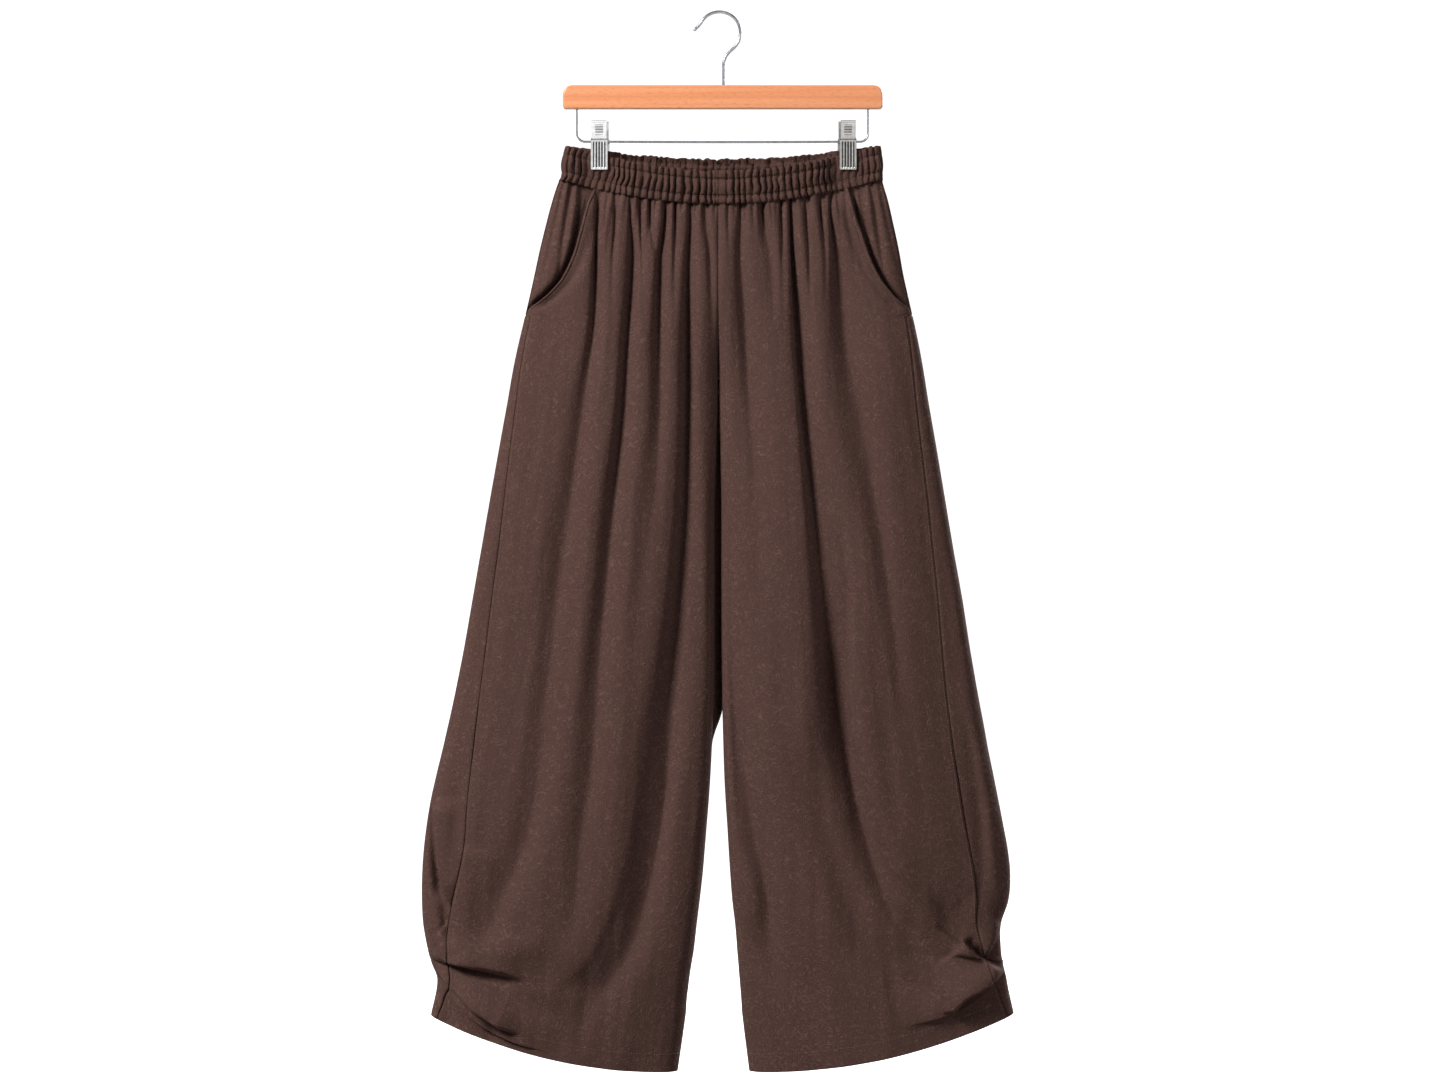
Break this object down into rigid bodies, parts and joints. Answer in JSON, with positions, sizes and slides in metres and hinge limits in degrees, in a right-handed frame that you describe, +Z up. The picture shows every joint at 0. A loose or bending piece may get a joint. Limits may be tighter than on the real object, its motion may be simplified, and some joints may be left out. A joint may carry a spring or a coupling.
{
  "type": "balloon pants on a clip hanger",
  "caption": "Wide balloon pants with a gathered elastic waistband, slash pockets and tucked side hems, hanging from a wooden clip hanger.",
  "frame": {"origin": "inside the top of the hook, where it hangs on a rail", "axes": "+Z up, the wearer's front towards -Y, +X to the viewer's right when looking at the front"},
  "size_m": [0.6446, 0.0965, 1.1573],
  "materials": {
    "cloth": "soft brown woven cloth with a faint nap",
    "band_cloth": "the same brown cloth, gathered over elastic",
    "beech": "satin varnished beech",
    "steel_wire": "plated steel wire",
    "clip_steel": "pressed and plated steel"
  },
  "bodies": {
    "root": {"waistband_front": "band_cloth", "waistband_back": "band_cloth", "leg_front_left": "cloth", "leg_back_left": "cloth", "leg_back_left_lower": "cloth", "pocket_backing_left": "cloth", "leg_front_right": "cloth", "leg_back_right": "cloth", "pocket_backing_right": "cloth", "hanger_hook": "steel_wire", "hanger_bar": "beech", "hanger_wire": "steel_wire", "clip_left_front_plate": "clip_steel", "clip_left_rear_plate": "clip_steel", "clip_left_spring": "clip_steel", "clip_right_front_plate": "clip_steel", "clip_right_rear_plate": "clip_steel", "clip_right_spring": "clip_steel"}
  },
  "joints": []
}
